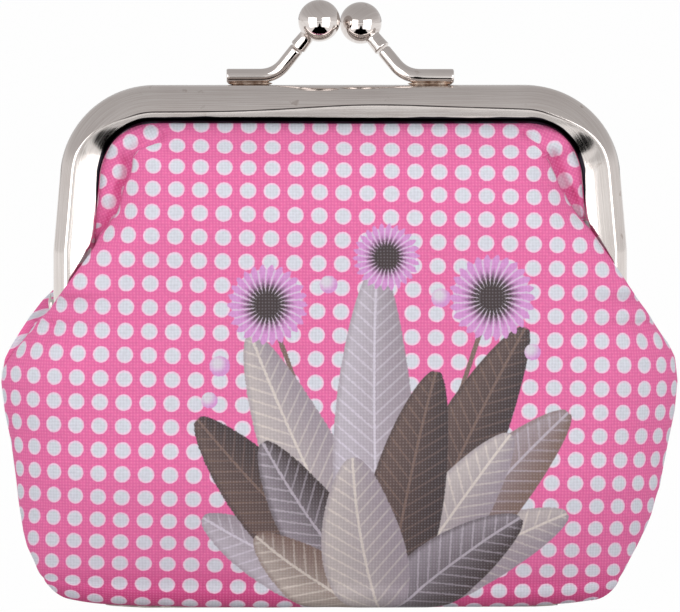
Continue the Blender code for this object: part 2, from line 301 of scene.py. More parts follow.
def walk_section(stretches):
    """The channel's outer face from the rolled lip on: (length, inset, reach) points, found by
    walking along the sheet as the way it faces turns from down to front, up and back. The
    stretches give a length in millimetres and the turn at its two ends."""
    depth = sum(
        length * max(math.sin(math.radians((start + end) / 2)), 0)
        for length, start, end in stretches
    )
    web = (outer_face - inner_face) * 1000 - depth - inner_bend * 1000
    turned = inner_bend * 1000 * math.pi / 2
    rest = sheet_length * 1000 - sum(stretch[0] for stretch in stretches) - web - turned
    walked = [(0.0, 0.0, 0.0)]
    for length, start, end in (*stretches, (web, 90, 90), (turned, 90, 180), (rest, 180, 180)):
        if start == end == 90:
            web_start = walked[-1][0]
        for k in range(10):
            turn = math.radians(start + (end - start) * (k + 0.5) / 10)
            s, inset, reach = walked[-1]
            part = length / 10000
            walked.append((s + part, inset - math.cos(turn) * part, reach - math.sin(turn) * part))
    lowest = min(inset for _, inset, _ in walked)
    highest = max(reach for _, _, reach in walked)
    return [(s, i - lowest, r - highest + outer_face) for s, i, r in walked], web_start


# stretches of the sheet from its rolled lip on: the lip, the front face, the ridge, the shoulder
# and the bend to the web; on the rail the face is short and the shoulder broad
rail_stretches = ((1.2, -70, -5), (0.62, -5, -2), (0.3, -2, 12), (2.87, 12, 35), (2.5, 35, 90))
leg_stretches = ((0.9, -60, -14), (3.3, -14, -8), (0.35, -8, 33), (1.2, 33, 50), (2.37, 50, 90))
leg_section, web_start = walk_section(leg_stretches)
web_reach_start = next(reach for s, _, reach in leg_section if s >= web_start - 1e-9)


def channel_section(leg, broad):
    """Section between the rail's (leg 0) and a leg's (leg 1), with its front face broader by
    broad, and the length at its ridge."""
    moved = (0, broad, 0, -broad, 0)
    stretches = [
        [a + (b - a) * leg for a, b in zip(rail, other)]
        for rail, other in zip(rail_stretches, leg_stretches)
    ]
    for stretch, more in zip(stretches, moved):
        stretch[0] += more * (1 - leg)
    ridge = (stretches[0][0] + stretches[1][0] + stretches[2][0] / 2) / 1000
    return walk_section(stretches)[0], ridge


def read_off(table, place):
    """Values at a place between the rows of a table, whose rows start with rising places."""
    for (start, *low), (end, *high) in zip(table, table[1:]):
        if place <= end:
            share = max(place - start, 0) / (end - start)
            return [a + (b - a) * share for a, b in zip(low, high)]
    return table[-1][1:]


def section_at(section, length, unbent):
    """(inset, reach) at a length along the sheet; an unbent sheet goes straight on back."""
    if unbent and length > web_start:
        return 0.0, web_reach_start - (length - web_start)
    return read_off(section, length)


def leg_end_rows():
    """Rows of the trimmed leg end and its round lug: (height, first and last length)."""

    def length_at(reach):
        return web_start + web_reach_start - reach

    rows = []
    tip_start = web_start - tip_width
    for k in range(1, 17):
        share = 1 - k / 16
        height = leg_tip + (trim_start - leg_tip) * share
        back = (inner_face + inner_bend) * share - lug_radius * (1 - share) / 2
        rows.append((height, tip_start * (1 - share), length_at(back)))
    for k in range(1, 7):
        share = math.cos(math.pi / 2 * k / 6)
        height = hinge_height + (leg_tip - hinge_height) * (1 - k / 6)
        ahead = lug_radius + (web_reach_start + tip_width - lug_radius) * share
        rows.append((height, length_at(ahead), length_at(-lug_radius * (1 - share / 4))))
    for k in range(1, 9):
        turn = math.pi / 2 * k / 8
        half = lug_radius * math.cos(turn)
        height = hinge_height - lug_radius * math.sin(turn)
        rows.append((height, length_at(half), length_at(-half)))
    return rows


def lip_wave(x):
    """Slight unevenness of the pressed rail, as a depth."""
    return 0.00006 * noise.noise(Vector((x * 70, 0.3, 0))) + 0.00003 * math.cos(x * 130)


def broad_face(x):
    """How much broader the rail's front face is round its middle, in millimetres."""
    middle = 1.14 * math.exp(-(((x - 0.005) / 0.0145) ** 2))
    return middle + 0.35 * math.exp(-(((x - 0.024) / 0.01) ** 2))


def nickel_finish(name, rail):
    """Bright nickel, brushed along a rail; on a rail a painted black band along the rolled lip
    stands for its dark reflection and shaded gap, and a painted dark line along the ridge for a
    reflected dark strip.
    """
    finish, shader, wire = new_finish(name, Metallic=1.0)
    along = wire.node("UVMap", {"uv_map": "along"})
    brushed = wire.node("Mapping", None, {0: along, 3: (90, 6200, 1)})
    brush = brushed.cloud(1, 4)
    place = wire.node("TexCoord", out=3)
    worn = place.cloud(420, 3).step(0.66, 0.74)
    streak = brush.step(0.30, 0.70)
    tone = place.cloud(130, 4) * 0.6 + streak * 0.4
    plate = tone.ramp((0.25, (0.66, 0.60, 0.57)), (0.75, (0.78, 0.73, 0.70)))
    plate = plate.blend((0.40, 0.33, 0.29, 1), worn * 0.5)
    if rail:
        u, v, _ = along.split()
        far = u.size()
        uneven = wire.node("Mapping", None, {0: along, 3: (120, 0, 1)}).cloud(1)
        # painted black band along the rolled lip, standing in for its dark reflection and the
        # shaded gap under it; narrower towards the ends and left bright at the very edge far out
        wide = far.step(0.060, 0.036) * 0.00085 + 0.0004
        wide = wide * (uneven * 0.5 + 0.75) * far.step(0.057, 0.050)
        painted_lip_reflection_and_shade = (v - wide).step(0.00006, -0.00006)
        edge = v.step(0.00030, 0.00016) * far.step(0.030, 0.040)
        plate = plate.blend((0.012, 0.010, 0.014, 1), painted_lip_reflection_and_shade * (1 - edge))
        # painted dark line along the ridge, standing in for the reflection of a dark strip in
        # front
        ridge = wire.node("Attribute", {"attribute_name": "ridge"}, out=2)
        thin = uneven * 0.00008 + 0.00004
        line = (ridge.size() - thin).step(0.00005, -0.00002) * far.step(0.038, 0.030)
        plate = plate.blend((0.03, 0.02, 0.02, 1), line * uneven.step(0.30, 0.42) * 0.9)
    connect(
        shader,
        Base_Color=plate,
        Roughness=streak * (0.05 if rail else 0.02) + worn * 0.08 + (0.08 if rail else 0.04),
        Normal=brush.bump(0.10 if rail else 0.02, 0.00003),
    )
    return finish


rail_nickel = nickel_finish("brushed_nickel", True)
nickel = nickel_finish("bright_nickel", False)


def make_frame(half, side, lug_inset):
    """The bow, from one leg's lug over the rail to the other's."""
    stations = bow_stations()
    rows = [(station[:5], station[5], 0, sheet_length) for station in stations]
    for height, first, last in leg_end_rows():
        length = stations[-1][5] + stations[-1][1] - height
        rows.append(((leg_x(height, 0), height, 1, 0, 1), length, first, last))
    sections = {}
    for k, row in enumerate(rows):
        for way in (-1, 1):
            sections[way * k] = channel_section(row[0][4], broad_face(way * row[0][0]))
    front_columns, back_columns = 56, 24
    ridge_run = []

    def place(column, row):
        offset = row - (len(rows) - 1)
        way = -1 if offset < 0 else 1
        (x, height, out_x, out_z, leg), along_bow, first, last = rows[abs(offset)]
        k = column if side > 0 else front_columns + back_columns - column
        split = max(web_start, first + (last - first) * 0.3)
        if k <= front_columns:
            length = first + (split - first) * k / front_columns
        else:
            length = split + (last - split) * (k - front_columns) / back_columns
        section, ridge = sections[offset]
        inset, reach = section_at(section, length, last < sheet_length)
        ridge_run.append(length - ridge)
        if reach > inner_face:
            reach += lip_wave(way * x) * min(inset / 0.003, 1)
        x -= lug_inset * smooth(height, trim_top, joggle_bottom)
        point = (way * (x - inset * out_x), side * reach, height - inset * out_z)
        return point, (way * along_bow, length)

    mesh = sheet_mesh(half + "_bow", front_columns + back_columns, 2 * (len(rows) - 1), place)
    add_values(mesh, "ridge", ridge_run)
    piece = add_piece(half + "_bow", mesh, rail_nickel, half + "_half")
    thick = piece.modifiers.new("sheet", "SOLIDIFY")
    thick.thickness = frame_sheet
    thick.offset = -1
    rounded = piece.modifiers.new("deburred", "BEVEL")
    rounded.width = 0.00014
    rounded.segments = 2
    rounded.limit_method = "ANGLE"
    rounded.angle_limit = math.radians(50)
    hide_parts(half + "_frame")


# each half's name, the side of the middle plane it lies on, and how far in its lugs stand
halves = (("front", -1, 0), ("rear", 1, lug_step))
for half, side, lug_inset in halves:
    make_frame(half, side, lug_inset)

# Hinge rivets. Small domed nickel rivets set across the pair of lugs at each leg end, so that
# both frame halves turn on them.

rivet_radius = 0.0008
rivet_head_radius = 0.0015
rivet_head = 0.0005
rivet_grip = 2 * frame_sheet + 3 * clearance


def close_up(mesh, sharp):
    """Joins points in the same place, turns the faces outwards and keeps the sharp edges."""
    shape = bmesh.new()
    shape.from_mesh(mesh)
    bmesh.ops.remove_doubles(shape, verts=shape.verts, dist=1e-7)
    bmesh.ops.recalc_face_normals(shape, faces=shape.faces)
    shape.to_mesh(mesh)
    shape.free()
    mesh.shade_smooth()
    mesh.set_sharp_from_angle(angle=math.radians(sharp))
    return mesh


def turned_mesh(name, profile, steps):
    """A profile of (radius, height) points turned about Z, with its lengths as (u, v)."""
    lengths = lengths_along(profile)

    def place(column, row):
        turn = math.tau * column / steps
        radius, height = profile[row]
        point = (radius * math.cos(turn), radius * math.sin(turn), height)
        return point, (0.003 * turn, lengths[row])

    return close_up(sheet_mesh(name, steps, len(profile) - 1, place), 50)


def dome(radius, base, rise, steps=7):
    """Profile of a shallow dome from its rim to its top."""
    turns = [math.pi / 2 * k / steps for k in range(steps + 1)]
    return [(radius * math.cos(t), base + rise * math.sin(t)) for t in turns]


for rivet_name, way in (("left", -1), ("right", 1)):
    under = [(r, -rivet_grip - h) for r, h in reversed(dome(rivet_head_radius, 0, rivet_head))]
    profile = [*under, (rivet_radius, -rivet_grip), (rivet_radius, 0)]
    profile += [*dome(rivet_head_radius, 0, rivet_head)]
    mesh = turned_mesh(rivet_name + "_hinge_rivet", profile, 40)
    rivet = add_piece(rivet_name + "_hinge_rivet", mesh, nickel)
    rivet.location = (way * (frame_half_width + clearance), 0, hinge_height)
    rivet.rotation_euler = (0, way * math.pi / 2, 0)
    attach(rivet, "bag")
    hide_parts(rivet_name + "_rivet")

# Clasp arms. A round rod is bent up from a straight foot, which is soldered on its rail, and
# its end is pushed into the short sleeve under the ball.

ball_radius = 0.0031
ball_side_offset = 0.00313
ball_cross_offset = 0.0016
ball_height = 0.087
sleeve_radius = 0.00118
sleeve_length = 0.0021
arm_radius = 0.00105
arm_foot_length = 0.0072
arm_foot_end = 0.01675
arm_bend = 0.0046
arm_set_back = 0.0016
rod_end_edge = 0.00022
bead_length = 0.0066
bead_half_width = 0.00082
bead_half_height = 0.00036
bead_sunk = 0.00008

solder, solder_shader, wire = new_finish("tinned_solder", Metallic=0.85)
blotch = wire.node("TexCoord", out=3).cloud(900, 4)
connect(
    solder_shader,
    Base_Color=blotch.ramp((0.35, (0.20, 0.115, 0.075)), (0.7, (0.56, 0.46, 0.38))),
    Roughness=blotch * 0.3 + 0.2,
    Normal=blotch.bump(0.4, 0.0001),
)


def rod_mesh(name, route, radii, around=36):
    """A round rod along a route of points, closed at both ends."""
    route = [Vector(p) for p in route]
    lengths = lengths_along(route)
    across = Vector((0, 1, 0))
    rings = []
    for k, p in enumerate(route):
        ahead = (route[min(k + 1, len(route) - 1)] - route[max(k - 1, 0)]).normalized()
        side = (across - ahead * across.dot(ahead)).normalized()
        rings.append((p, side, ahead.cross(side)))

    def place(column, row):
        p, side, up = rings[row]
        turn = math.tau * column / around
        wide, high = radii[row]
        point = p + side * (wide * math.cos(turn)) + up * (high * math.sin(turn))
        return point, (lengths[row], 0.001 * turn)

    return close_up(sheet_mesh(name, around, len(route) - 1, place), 55)


def rounded_ends(count, radius, length, edge):
    """Distances and radii along a rod whose two ends are rounded off by edge."""
    places = [(0, 0.0001), (0, radius - edge)]
    for k in range(1, 5):
        turn = math.pi / 2 * k / 4
        places.append((edge * (1 - math.cos(turn)), radius - edge + edge * math.sin(turn)))
    middle = [(edge + (length - 2 * edge) * k / count, radius) for k in range(1, count)]
    return places + middle + [(length - s, r) for s, r in reversed(places)]


def clasp_route(side):
    """Points of the rod's middle line from the foot's end to the sleeve, the ball's place and
    the way from the foot to it."""
    way = -side
    foot_height = frame_top + clearance + arm_radius
    foot_y = side * (inner_face + arm_set_back)
    rise = 0.00017 * side - 0.00025
    ball = Vector((way * ball_side_offset, -side * ball_cross_offset, ball_height + rise))
    foot_end = Vector((way * arm_foot_end, foot_y, foot_height))
    corner = foot_end - Vector((way * arm_foot_length, 0, 0))
    slant = (ball - corner).normalized()
    tip = ball - slant * (ball_radius + sleeve_length + clearance)
    start = corner + Vector((way * arm_bend / 2, 0, 0))
    end = corner + slant * arm_bend / 2
    line = [foot_end.lerp(start, k / 12) for k in range(12)]
    for k in range(17):
        t = k / 16
        line.append((1 - t) ** 2 * start + 2 * t * (1 - t) * corner + t * t * end)
    line += [end.lerp(tip, k / 8) for k in range(1, 9)]
    return line, ball, slant


clasp_ends = []
for half, side, _ in halves:
    route, ball, slant = clasp_route(side)
    clasp_ends.append((half, ball, slant))
    lengths = lengths_along(route)
    shares = rounded_ends(44, arm_radius, lengths[-1], rod_end_edge)
    stops = [(s, *point) for s, point in zip(lengths, route)]
    points = [Vector(read_off(stops, s)) for s, _ in shares]
    first = (route[1] - route[0]).normalized()
    points[0] = route[0] - first * 0.00001
    points[-1] = route[-1] + slant * 0.00001
    mesh = rod_mesh(half + "_clasp_rod", points, [(r, r) for _, r in shares])
    rod = add_piece(half + "_clasp_rod", mesh, nickel, half + "_half")
    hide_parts(half + "_clasp_arm")

    low = frame_top + clearance - bead_sunk
    bead_end = arm_foot_end - 0.0002
    bead = [(side * (bead_length * k / 20 - bead_end), route[0].y, low) for k in range(21)]
    swell = [0.25 + 0.75 * min(k, 20 - k, 4) / 4 for k in range(21)]
    uneven = [1 + 0.12 * noise.noise(Vector((k * 0.9, side, 0))) for k in range(21)]
    sizes = [(bead_half_width * s * w, bead_half_height * s) for s, w in zip(swell, uneven)]
    sizes[0] = sizes[-1] = (0.00002, 0.00002)
    mesh = rod_mesh(half + "_solder_bead", bead, sizes, 20)
    joint = add_piece(half + "_solder_bead", mesh, solder, half + "_half")

# Clasp balls. Hollow nickel-plated spheres, each drawn together with a short sleeve that is
# crimped on its rod; the two balls stand past each other to hold the purse shut.

for half, ball, slant in clasp_ends:
    sleeve_end = ball_radius + sleeve_length
    neck = math.asin((sleeve_radius + 0.00002) / ball_radius)
    profile = [
        (ball_radius * math.sin(t), ball_radius * math.cos(t))
        for t in [(math.pi - neck) * k / 56 for k in range(57)]
    ]
    waist = -math.cos(neck) * ball_radius
    profile += [
        (sleeve_radius - 0.00006, waist - 0.00012),
        (sleeve_radius - 0.00004, waist - 0.0006),
        (sleeve_radius + 0.00002, -sleeve_end + 0.00045),
        (sleeve_radius + 0.00005, -sleeve_end + 0.0002),
        (sleeve_radius + 0.00002, -sleeve_end + 0.00006),
        (sleeve_radius - 0.00008, -sleeve_end),
        (arm_radius * 0.9, -sleeve_end),
        (0, -sleeve_end),
    ]
    mesh = turned_mesh(half + "_clasp_knob", profile, 96)
    knob = add_piece(half + "_clasp_knob", mesh, nickel)
    knob.location = ball
    knob.rotation_euler = slant.to_track_quat("Z", "Y").to_euler()
    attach(knob, half + "_half")
    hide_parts(half + "_clasp_ball")

# Paper cords. Twisted brown paper string, pushed in behind the cloth all along each channel to
# wedge it. They hardly show, so the solids stay and take a twisted paper finish.

paper, paper_shader, wire = new_finish("twisted_paper", Roughness=0.9)
where = wire.node("TexCoord", out=3)
px, py, pz = where.split()
fibres = where.cloud(2200, 4)
twist = ((px + pz) * 5200 + py * 2600 + fibres * 2).wave() * 0.5 + 0.5
tone = twist * 0.7 + fibres * 0.3
connect(
    paper_shader,
    Base_Color=tone.ramp((0.1, (0.33, 0.24, 0.14)), (0.8, (0.66, 0.54, 0.36))),
    Normal=twist.bump(0.6, 0.0001),
)
for half, _, _ in halves:
    cord = frame["nodes"][half + "_paper_cord"]
    for shown in [cord, *cord.children_recursive]:
        if shown.type == "MESH":
            for index in range(max(len(shown.material_slots), 1)):
                if not shown.material_slots:
                    shown.data.materials.append(paper)
                shown.material_slots[index].link = "OBJECT"
                shown.material_slots[index].material = paper

# Printed panels. Two sheets of plain-woven cotton with a dotted print, seamed together at the
# sides and under the base, gathered at the top corners and gripped in the frame's channels.

bag_half_depth = 0.0095
base_radius = 0.0035
base_draw_in = 0.0074
draw_in_top = 0.021
edge_reach = 0.0155
pleat_reach = 0.0075
top_reach = 0.0165
top_power = 1.7
seam_gap = 0.00006
cloth_edge_inset = 0.0014
panel_thickness = 0.0007
pressed_share = 0.06
lip_curl = 0.0008
cloth_front = outer_face - frame_sheet - lip_curl - clearance
rail_face = 0.00566
rail_lip = frame_top - rail_face - clearance
valley_bottom = hinge_height - lug_radius - clearance - frame_sheet / 2
dot_pitch = 0.00351
dot_turn = math.radians(1.35)
dot_origin = (0.00015, 0.05828)


def swelling(share):
    """Rises from 0 to 1 as stuffed cloth does from its seam, upright at first."""
    return (1 - (1 - share) ** 1.8) ** 0.62


def frame_x(height, inset):
    """Half width of the frame's whole outline, corner included, moved inwards by inset."""
    radius = corner_radius - inset
    rise = height - corner_height
    if rise <= radius * math.sin(leg_lean):
        return leg_x(height, inset)
    return corner_x + math.sqrt(max(radius * radius - rise * rise, 0))


def valley(height):
    """How far a panel's side edge stands off the middle plane, round the lugs and rivet."""
    if height <= valley_bottom:
        return seam_gap
    room = lug_radius + clearance
    if height < hinge_height:
        drop = hinge_height - height
        return max(math.sqrt(max(room * room - drop * drop, 0)), seam_gap) + clearance / 2
    share = min((height - hinge_height) / (fold_height - hinge_height), 1)
    return room + clearance / 2 + (cloth_front - room) * share


def outline_x(outline, height):
    """Half width on an outline of (height, half width) in millimetres, lowest first."""
    return read_off(outline, height * 1000)[0] / 1000


# outline of each stuffed front as (height, half width) in millimetres, from the pleat under the
# rail, over the trimmed leg end and down the free shoulder, and then down the side seam
left_pleat = (
    (71.5, 25.9), (69.0, 26.7), (68.4, 28.6), (67.8, 29.9), (66.9, 30.6), (64.6, 30.9),
    (63.4, 31.5), (61.9, 32.1), (60.0, 32.5), (58.6, 33.0), (57.2, 34.0), (55.6, 35.2),
    (53.3, 36.6), (49.8, 39.1), (46.2, 41.7), (44.1, 43.1), (42.1, 45.0), (40.4, 46.3),
    (38.7, 47.7), (37.1, 48.9), (35.4, 49.9),
)
right_pleat = (
    (71.5, 26.9), (70.0, 28.0), (68.3, 29.2), (66.8, 30.2), (64.4, 31.5), (62.5, 32.3),
    (60.4, 33.6), (58.5, 34.9), (56.5, 36.5), (51.8, 39.8), (49.0, 41.7), (46.5, 43.4),
    (44.1, 45.2), (42.6, 46.2), (40.6, 47.6), (38.9, 48.8), (37.0, 49.7),
)
even_pleat = (
    (69.2, 24.5), (68.6, 27.8), (66.0, 30.3), (62.2, 32.0), (58.0, 34.6), (55.0, 36.0),
    (51.0, 38.7), (48.0, 41.2), (45.5, 44.0), (42.6, 46.2), (38.9, 48.6), (37.0, 49.6),
)
left_seam = (
    (33.5, 50.1), (29.2, 49.6), (24.8, 48.7), (20.3, 48.1), (15.9, 47.6), (11.4, 46.9),
    (9.2, 46.3), (7.0, 45.3), (4.7, 44.4), (3.0, 43.6),
)
right_seam = (
    (33.5, 50.1), (29.2, 49.7), (24.8, 48.8), (20.3, 47.9), (18.0, 47.5), (15.9, 46.8),
    (13.7, 46.2), (11.4, 45.3), (9.2, 44.2), (7.0, 43.0), (4.7, 41.9), (3.0, 41.2),
)
pleat_depth = 0.0008
puff_over_leg = 0.0063
hinge_pocket_x = 0.0388
corner_lift = 0.0012
corner_lift_x = 0.039
corner_room = 0.0045

# heights between which the cloth passes from lying one way to lying another
grip_rise = (0.0448, 0.0475)
strip_fade = (0.0692, 0.0662)
reach_rise = (0.040, 0.055)
tuck_rise = (0.002, 0.012)
pocket_rise = (0.0412, 0.0426)
pocket_fade = (0.0484, 0.0470)
fold_fade = (0.0560, 0.0590)
print_turn_rise = (0.0535, 0.0575)
print_easing = (0.0668, 0.0690)
sinking_rise = (0.020, 0.034)
room_fade = (0.003, 0.013)


def gripped_edge(height, lug_inset):
    """Half width at the sheet's edge inside the channel."""
    held = max(height, fold_height + 0.0006)
    joggled = part_way(held, trim_top, joggle_bottom)
    return frame_x(held, cloth_edge_inset) - lug_inset * joggled


def gripped_lip(height, edge):
    """Half width at the frame's lip, trimmed leg end included."""
    held = max(height, fold_height + 0.0006)
    trimmed = max(trim_start - held, 0) / (trim_start - leg_tip)
    lip = leg_x(held, flange_length + clearance) + trimmed * (flange_length - tip_width)
    return min(lip, edge - clearance)


def cloth_rows():
    """Rows from the seam under the base to the edge in the rail: (height, share of the depth
    under the base or None, how far the base's round edge has grown)."""
    rows = [(0.0, k / 9, 0.0) for k in range(10)]
    for k in range(1, 10):
        turn = math.pi / 2 * k / 9
        rows.append((base_radius * (1 - math.cos(turn)), None, math.sin(turn)))
    wall_top = rail_lip - edge_reach
    for k in range(1, 113):
        rows.append((base_radius + (wall_top - base_radius) * k / 112, None, 1.0))
    for k in range(1, 37):
        turn = math.pi / 2 * (1 - k / 36)
        rows.append((rail_lip - edge_reach * (1 - math.cos(turn)), None, 1.0))
    top = frame_top - cloth_edge_inset
    rows += [(rail_lip + (top - rail_lip) * k / 4, None, 1.0) for k in range(1, 5)]
    return rows


flat_columns = 46
round_columns = 30
strip_columns = 16
tucked_columns = 4
pleat_column = flat_columns + round_columns
lip_column = pleat_column + strip_columns


def pillow(height, x, line, low, full, reach):
    """Depth of the stuffed cloth inside a line, rounded off at the sides and under the rail."""
    side = part_way(line - abs(x), 0, reach)
    top = part_way(rail_lip - height, 0, top_reach)
    return low + (full - low) * swelling(side) * (1 - (1 - top) ** top_power)


def wall_depth(height):
    """Half depth of the stuffed bag, which draws in towards its base."""
    return bag_half_depth - base_draw_in * (1 - min(height / draw_in_top, 1)) ** 1.6


def half_row(height, share, grown, pleat, lug_inset, folded):
    """Places of one row from the middle out: (half width, depth). A folded row puffs over its
    pleat and the leg; a plain one stays behind it."""
    half = outline_x(pleat, max(height, base_radius)) - base_radius * (1 - grown)
    full = wall_depth(max(height, base_radius)) - base_radius * (1 - grown)
    grip = smooth(height, *grip_rise)
    strip = smooth(height, *strip_fade)
    reach = edge_reach + (pleat_reach - edge_reach) * smooth(height, *reach_rise)
    edge = gripped_edge(height, lug_inset)
    lip = gripped_lip(height, edge)
    over = smooth(half - lip, -0.0006, 0.0006) * grip
    inner = valley(height) + (cloth_front - valley(height)) * grip
    if folded:
        raised = cloth_front + pleat_depth * strip
        raised += (puff_over_leg - raised) * over
    else:
        raised = cloth_front
        half += (min(half, lip - clearance) - half) * grip
    raised = valley(height) + (raised - valley(height)) * grip
    line = half + (lip - half) * (1 - strip) * grip
    tucked = 0.0003 + 0.0011 * smooth(height, *tuck_rise)
    ends = (half - tucked, half - 2 * tucked)
    lip_place = ends[0] + (lip - 0.0003 * over - ends[0]) * grip
    edge_place = ends[1] + (edge - ends[1]) * grip
    places = []
    start = max(half - edge_reach, 0)
    for k in range(flat_columns):
        places.append(start * k / flat_columns)
    for k in range(round_columns + 1):
        turn = math.pi / 2 * (1 - k / round_columns)
        places.append(half - (half - start) * (1 - math.cos(turn)))
    row = []
    for x in places:
        row.append((x, pillow(height, x, line, raised, full, reach)))
    top_rise = pillow(height, half, line, raised, full, reach) - raised
    for k in range(1, strip_columns + 1):
        s = (k / strip_columns) ** 1.6
        x = half + (lip_place - half) * s
        drop = (1 - s) ** 7 * (1 - over) + (1 - s**5) * over
        shallow = inner + (raised - inner) * drop
        if grip and strip < 1:
            plain = pillow(height, x, lip, cloth_front, full, reach)
            shallow += (plain - shallow) * (1 - strip)
        row.append((x, shallow + top_rise * drop * strip))
    # beside the lugs the tucked edge first runs past them and then goes in
    last = row[-1][1]
    pocket = smooth(height, *pocket_rise) * smooth(height, *pocket_fade)
    edge_place += (hinge_pocket_x - edge_place) * pocket
    inner += (seam_gap - inner) * pocket
    for k in range(1, tucked_columns + 1):
        s = k / tucked_columns
        sunk = s + (smooth(s, 0.6, 1.0) - s) * pocket
        row.append((lip_place + (edge_place - lip_place) * s, last + (inner - last) * sunk))
    if share is not None:
        row = [(x, seam_gap + (depth - seam_gap) * share) for x, depth in row]
    return row


def base_lift(x):
    """How much the seam under the base curves up towards the corners."""
    return corner_lift * (abs(x) / corner_lift_x) ** 6


def cloth_grid(side, lug_inset, pleats, folded):
    """Points of one panel's outer face, row by row from its left edge to its right."""
    grid = []
    for height, share, grown in cloth_rows():
        left, right = [
            half_row(height, share, grown, pleat, lug_inset, folded) for pleat in pleats
        ]
        row = [(-x, depth) for x, depth in reversed(left[1:])] + right
        points = []
        for x, depth in row:
            lift = base_lift(x) * (1 - smooth(height, 0, 0.006))
            points.append(Vector((-side * x, side * depth, height + lift)))
        grid.append(points)
    return grid


def cloth_print(grid):
    """Lengths along the cloth, across each row from the middle column and up the middle column
    from the row of dots at the origin."""
    middle = len(grid[0]) // 2
    across_cloth = []
    for row in grid:
        run = [0.0] * len(row)
        run[middle:] = lengths_along(row[middle:])
        run[: middle + 1] = [-length for length in lengths_along(row[middle::-1])][::-1]
        across_cloth.append(run)
    up_middle = [row[middle] for row in grid]
    lengths = lengths_along(up_middle)
    start = min(range(len(grid)), key=lambda k: abs(up_middle[k].z - dot_origin[1]))
    shift = up_middle[start].z - dot_origin[1] - lengths[start]
    return across_cloth, [length + shift for length in lengths]


def seen_from(foot, turn, u, v):
    """How far the place (u, v) is from a foot, ahead and across in a turned direction."""
    c, s = math.cos(turn), math.sin(turn)
    u, v = u - foot[0], v - foot[1]
    return u * c + v * s, v * c - u * s


# the cloth outside a pleat is turned as it eases round the corner: a dot's place there in
# millimetres, its column and row in the print, how far it is turned, and its spacing
turned_print = {
    -1: ((-34.0, 67.7), (-10, 4), math.radians(-25), 3.3),
    1: ((34.6, 66.5), (10, 4), math.radians(26), 3.5),
}


def strip_print(x, z):
    """Where the turned cloth outside the pleat lies in the print, as (u, v)."""
    dot, (column, row), turn, spacing = turned_print[-1 if x < 0 else 1]
    across, up = seen_from(dot, -turn, x * 1000, z * 1000)
    u, v = seen_from((0, 0), dot_turn, column + across / spacing, row + up / spacing)
    return dot_origin[0] + u * dot_pitch, v * dot_pitch


def mm(*points):
    """Points of a crease from millimetres."""
    return [Vector((x / 1000, z / 1000)) for x, z in points]


# creases: line, width in millimetres, depth in millimetres
creases = [
    (mm((-32.1, 67.4), (-31.9, 63.7), (-32.9, 62.8), (-33.1, 60.6)), 0.35, 0.25),
    (mm((-35.2, 60.9), (-35.0, 58.5), (-35.9, 56.4), (-36.5, 53.7)), 0.35, 0.22),
    (mm((-34.1, 59.0), (-34.6, 56.4)), 0.3, 0.18),
    (mm((-25.8, 71.0), (-26.6, 69.2)), 0.5, 0.2),
    (mm((-29.5, 69.6), (-31.2, 67.8)), 0.4, 0.2),
    (mm((31.0, 68.6), (32.4, 65.5), (33.6, 62.9), (35.6, 59.4)), 0.4, 0.28),
    (mm((33.2, 62.6), (35.0, 60.8), (36.1, 58.6)), 0.4, 0.28),
    (mm((26.6, 71.0), (28.0, 69.4)), 0.5, 0.2),
    (mm((-42.0, 43.2), (-43.4, 40.6), (-43.6, 38.6)), 0.7, 0.25),
    (mm((43.6, 42.8), (45.0, 40.2), (45.2, 38.2)), 0.7, 0.22),
]


def near_crease(p, line):
    """Distance from a line, and how far along it the nearest place is."""
    best = (1e9, 0)
    runs = lengths_along(line)
    for a, b, run in zip(line, line[1:], runs):
        d = b - a
        t = part_way((p - a).dot(d), 0, d.length_squared)
        gap = (p - (a + d * t)).length
        if gap < best[0]:
            best = (gap, (run + d.length * t) / runs[-1])
    return best


def crease_depth_and_painted_shade(x, z):
    """Depth of the creases at a place, and the shade painted into them."""
    p = Vector((x, z))
    depth, painted_shade = 0.0, 0.0
    for line, width, deep in creases:
        if (p - line[0]).length > 0.016:
            continue
        gap, share = near_crease(p, line)
        width *= 0.001
        fade = smooth(share, 0.0, 0.15) * (1 - smooth(share, 0.75, 1.0)) + 0.1
        pit = math.exp(-((gap / width) ** 2))
        ridge = math.exp(-(((gap - 2.1 * width) / (1.1 * width)) ** 2))
        depth += deep * 0.001 * fade * (pit - 0.45 * ridge)
        # painted shade in the pits of the narrow creases
        painted_shade += pit * fade * min(deep * 2, 1) * (width < 0.0006)
    return depth, min(painted_shade, 1)


